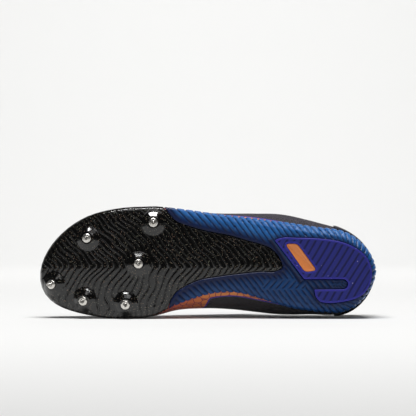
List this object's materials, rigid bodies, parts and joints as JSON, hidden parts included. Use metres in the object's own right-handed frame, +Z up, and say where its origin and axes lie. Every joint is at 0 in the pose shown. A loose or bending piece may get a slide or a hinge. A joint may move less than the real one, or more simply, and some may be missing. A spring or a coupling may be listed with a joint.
{
  "type": "track spike shoe",
  "caption": "Left track spike shoe lying on its side: spiked forefoot plate, ribbed foam midsole, heel pad and laced hollow upper.",
  "frame": {"origin": "on the floor, under the middle of the shoe's box", "axes": "-X towards the toe, -Y out of the sole, +Z up, which is the shoe's lateral side; the shoe lies on its medial side"},
  "size_m": [0.292, 0.1094, 0.0966],
  "materials": {
    "plate": "gloss, glitter flecked",
    "foam": null,
    "pad": "matte rubber",
    "badge": "satin",
    "steel": "machined",
    "mesh": "engineered mesh",
    "overlay": "satin film",
    "lining": "knit",
    "lace": "woven"
  },
  "bodies": {
    "root": {"outsole_plate": "plate", "midsole": "foam", "heel_outsole": "pad", "heel_badge": "badge", "spike_1": "steel", "spike_2": "steel", "spike_3": "steel", "spike_4": "steel", "spike_5": "steel", "spike_6": "steel", "upper": "mesh", "insole": "lining", "tongue": "lining", "eyestay": "overlay", "heel_counter": "overlay", "heel_tab": "lace", "lace_bar": "lace", "lace_cross_1": "lace", "lace_cross_2": "lace", "lace_cross_3": "lace", "lace_cross_4": "lace"}
  },
  "joints": []
}
